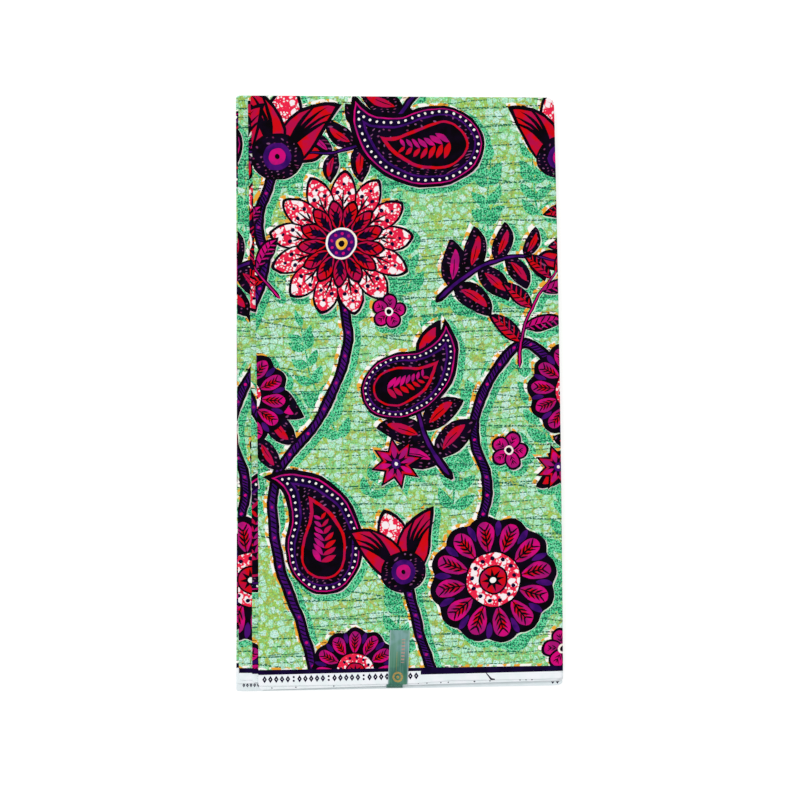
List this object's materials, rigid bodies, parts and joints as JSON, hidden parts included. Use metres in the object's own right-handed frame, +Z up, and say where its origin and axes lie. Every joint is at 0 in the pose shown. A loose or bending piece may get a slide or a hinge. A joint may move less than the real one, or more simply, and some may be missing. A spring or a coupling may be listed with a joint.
{
  "type": "ankara fabric, a folded piece of wax-print cotton",
  "caption": "Folded packet of wax-print cotton cloth, lapped flat with its selvedges at one end and a blank foil label stuck over them; it lies on a shelf or table.",
  "frame": {"origin": "centre of the packet's outline, on the surface that it lies on", "axes": "+X along the selvedges, from the stepped laps towards the single folded side; +Y from the selvedges towards the centre fold; +Z up, away from the surface it lies on"},
  "size_m": [0.3309, 0.5999, 0.0196],
  "materials": {
    "wax_print_cotton": "waxed cotton print in mint and lime green with navy, crimson, magenta and violet motifs",
    "foil_label": "satin teal foil"
  },
  "bodies": {
    "root": {"top_panel": "wax_print_cotton", "top_lap_under_layer": "wax_print_cotton", "second_lap": "wax_print_cotton", "third_lap": "wax_print_cotton", "outer_lap": "wax_print_cotton", "foot_lap": "wax_print_cotton", "inner_laps": "wax_print_cotton", "bottom_panel": "wax_print_cotton", "label": "foil_label"}
  },
  "joints": []
}
